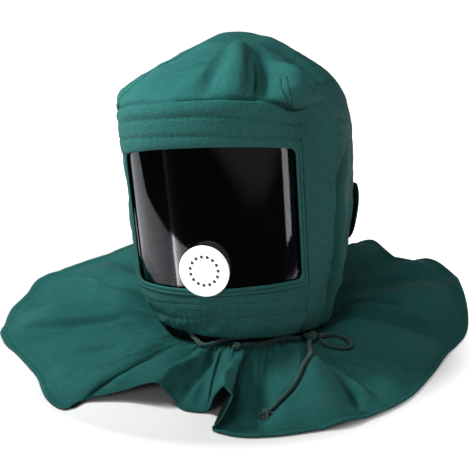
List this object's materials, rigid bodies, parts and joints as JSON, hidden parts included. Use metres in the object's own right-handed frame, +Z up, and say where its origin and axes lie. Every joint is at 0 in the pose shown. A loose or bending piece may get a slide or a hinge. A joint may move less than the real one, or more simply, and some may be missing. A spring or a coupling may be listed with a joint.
{
  "type": "sandblasting hood",
  "caption": "Canvas blasting hood with a wide spread cape, a curved clear visor, a round exhale valve and a tied neck drawcord.",
  "frame": {"origin": "on the surface that the cape lies on, under the middle of the whole hood", "axes": "+Z up, the window faces -Y, the wearer's left is +X"},
  "size_m": [0.536, 0.4939, 0.3313],
  "materials": {
    "canvas": "woven canvas",
    "binding": "folded woven binding",
    "dark_canvas": "woven canvas",
    "visor": "clear",
    "valve_cover": "smooth",
    "valve_inner": "matte",
    "cord": "braided"
  },
  "bodies": {
    "root": {"hood_shell": "canvas", "brow_band": "canvas", "chin_band": "canvas", "neck_casing": "canvas", "cape": "canvas", "window_binding": "binding", "vent_flap": "dark_canvas", "visor": "visor", "valve_cover": "valve_cover", "valve_body": "valve_inner", "valve_nut": "valve_inner", "neck_cord": "cord", "bow_knot": "cord", "bow_loop": "cord", "short_end": "cord", "long_end": "cord", "short_end_knot": "cord", "long_end_knot": "cord"}
  },
  "joints": []
}
